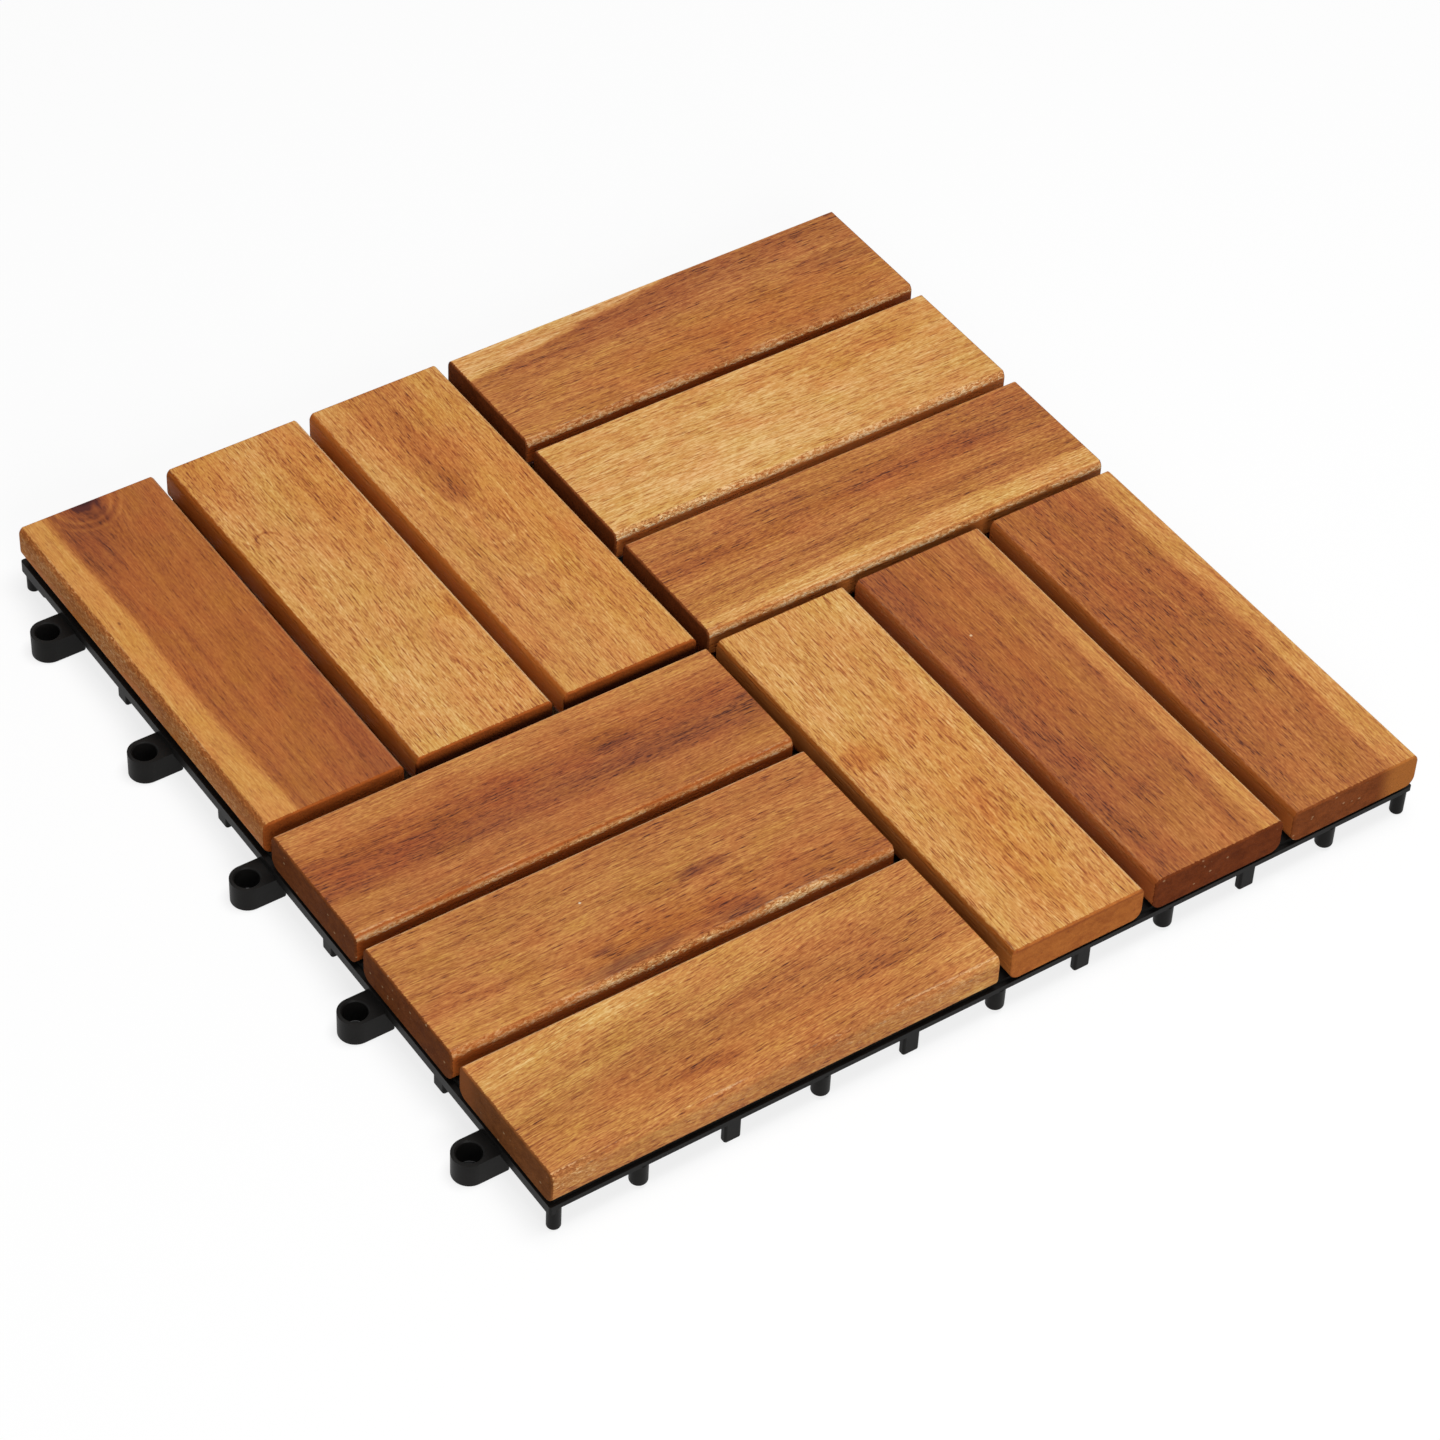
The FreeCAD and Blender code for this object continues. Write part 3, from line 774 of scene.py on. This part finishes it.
# Floor and light
WHITE = (1, 1, 1, 1)
FLOOR_SIZE = 6.0
FLOOR_SHADOW = 0.2         # share of the floor's look that keeps the tile's shadow
AMBIENT = 0.12
FLOOR_LIT = (0.62, 0.62, 0.62, 1)
FLOOR_SHADED = (0.95, 0.95, 0.95, 1)
FLOOR_PAINTED_SHADE_IN_LOOPS = (0.05, 0.05, 0.05, 1)
# The floor is dim under the tile, up to these lines, where it shows only the light that reaches it, and
# painted nearly black in its loops as painted shade. In millimetres.
DIM_X = (-140.5, 148)
DIM_Y = (-137, 148)
DIM_EDGE = 3.0
LOOP_REACH = 150.0         # the last loop ends within this distance of the tile's middle line
LOOP_AXIS = 157.0
LOOP_SPACING = 60.0
LOOP_ROOM = 4.6


def seen_or_lit(g, seen, lit):
    """Shader that is seen where the camera, gloss or glass looks at it, and lit for all other light."""
    path = g.node("ShaderNodeLightPath").outputs
    straight = g.math("MAXIMUM", path["Is Glossy Ray"], path["Is Transmission Ray"])
    straight = g.math("MAXIMUM", path["Is Camera Ray"], straight)
    return g.node("ShaderNodeMixShader", {0: straight, 1: lit, 2: seen}).outputs[0]


def dim_floor(g):
    """Two masks of the floor: under the tile, and inside its loops, where it gets painted shade."""
    x, y = g.position()[:2]
    under = g.times(g.between(x, *DIM_X, DIM_EDGE), g.between(y, *DIM_Y, DIM_EDGE))
    loops = 0.0
    for across, along in ((g.add(x, LOOP_AXIS), y), (g.minus(y, LOOP_AXIS), x)):
        nearest = g.math("WRAP", along, LOOP_SPACING / 2, -LOOP_SPACING / 2)
        inside = g.ease(g.length(across, nearest), LOOP_ROOM, LOOP_ROOM - 0.6)
        beside = g.ease(g.math("ABSOLUTE", along), LOOP_REACH, LOOP_REACH - 1)
        loops = g.add(loops, g.times(inside, beside))
    return under, loops


def floor():
    """A plain pale floor that keeps the tile's soft shadow, is dim under the tile and has painted shade in
    its loops.
    """
    mesh = bpy.data.meshes.new("floor")
    s = FLOOR_SIZE
    mesh.from_pydata([(-s, -s, 0), (s, -s, 0), (s, s, 0), (-s, s, 0)], [], [(0, 1, 2, 3)])
    made = bpy.data.objects.new("floor", mesh)
    g = Graph(bpy.data.materials.new("pale_floor"))
    lit = g.node("ShaderNodeBsdfDiffuse", {"Color": FLOOR_LIT}).outputs[0]
    white = g.node("ShaderNodeEmission", {"Color": WHITE, "Strength": 1.0}).outputs[0]
    under, loops = dim_floor(g)
    # Painted shade: inside the loops the floor's colour is nearly black
    grey = g.blend(loops, FLOOR_SHADED, FLOOR_PAINTED_SHADE_IN_LOOPS)
    shaded = g.node("ShaderNodeBsdfDiffuse", {"Color": grey}).outputs[0]
    share = g.math("MAXIMUM", g.math("MAXIMUM", under, loops), FLOOR_SHADOW)
    seen = g.node("ShaderNodeMixShader", {0: share, 1: white, 2: shaded}).outputs[0]
    mesh.materials.append(g.finish(seen_or_lit(g, seen, lit)))
    bpy.context.scene.collection.objects.link(made)


def lamp(name, toward, distance, size, power):
    """A square soft lamp that looks at the tile from the given direction."""
    data = bpy.data.lights.new(name, "AREA")
    data.shape = "SQUARE"
    data.size = size
    data.energy = power
    made = bpy.data.objects.new(name, data)
    direction = Vector(toward).normalized()
    made.location = direction * distance
    made.rotation_mode = "QUATERNION"
    made.rotation_quaternion = direction.to_track_quat("Z", "Y")
    bpy.context.scene.collection.objects.link(made)


def world():
    """White all round where it is seen, and a plain even light."""
    g = Graph(bpy.data.worlds.new("studio"))
    seen = g.node("ShaderNodeBackground", {"Color": WHITE, "Strength": 1.0}).outputs[0]
    lit = g.node("ShaderNodeBackground", {"Color": WHITE, "Strength": AMBIENT}).outputs[0]
    bpy.context.scene.world = g.finish(seen_or_lit(g, seen, lit), "ShaderNodeOutputWorld")


floor()
lamp("key", toward=(0.10, -0.12, 1.0), distance=2.2, size=1.0, power=38.5)
lamp("fill", toward=(-0.32, -1.0, 0.45), distance=2.2, size=1.2, power=22.3)
world()
bpy.context.scene.view_settings.view_transform = "Standard"
